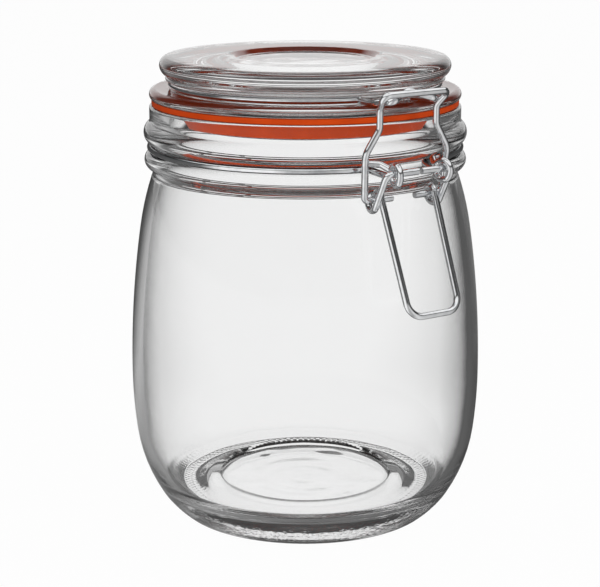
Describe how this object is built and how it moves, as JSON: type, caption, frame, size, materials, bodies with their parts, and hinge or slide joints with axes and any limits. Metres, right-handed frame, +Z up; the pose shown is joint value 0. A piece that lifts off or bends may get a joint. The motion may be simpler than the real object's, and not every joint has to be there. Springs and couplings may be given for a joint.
{
  "type": "clip-top glass jar",
  "caption": "Barrel-shaped glass storage jar with a hinged glass lid, a rubber sealing ring and a wire over-centre clip.",
  "frame": {"origin": "middle of the foot's resting plane, on the jar's axis", "axes": "+Z up; the clasp is on -Y, the lid's hinge on +Y; X = 0 is the closure's mid-plane"},
  "size_m": [0.1084, 0.124, 0.1415],
  "materials": {
    "jar_glass": "clear pressed glass",
    "lid_glass": "clear pressed glass",
    "gasket_rubber": "satin orange rubber",
    "wire": "bright polished wire"
  },
  "bodies": {
    "jar": {"jar": "jar_glass", "neck_wire": "wire"},
    "lid": {"lid": "lid_glass", "lid_wire": "wire", "gasket": "gasket_rubber"},
    "lever": {"lever": "wire"},
    "link": {"link": "wire"}
  },
  "joints": [
    {"name": "lid_hinge", "type": "hinge", "parent": "jar", "child": "lid", "pos_m": [0, 0.054, 0.1144], "axis": [-1, 0, 0], "range_deg": [0, 100]},
    {"name": "lever_pivot", "type": "hinge", "parent": "jar", "child": "lever", "pos_m": [0, -0.0572, 0.1144], "axis": [-1, 0, 0], "range_deg": [0, 80]},
    {"name": "link_pivot", "type": "hinge", "parent": "lever", "child": "link", "pos_m": [0, -0.0498, 0.10605], "axis": [1, 0, 0], "range_deg": [0, 120]}
  ],
  "couplings": [
    {"joint": "lever_pivot", "follows": "lid_hinge", "ratio": 0.8},
    {"joint": "link_pivot", "follows": "lid_hinge", "ratio": 1.2}
  ]
}
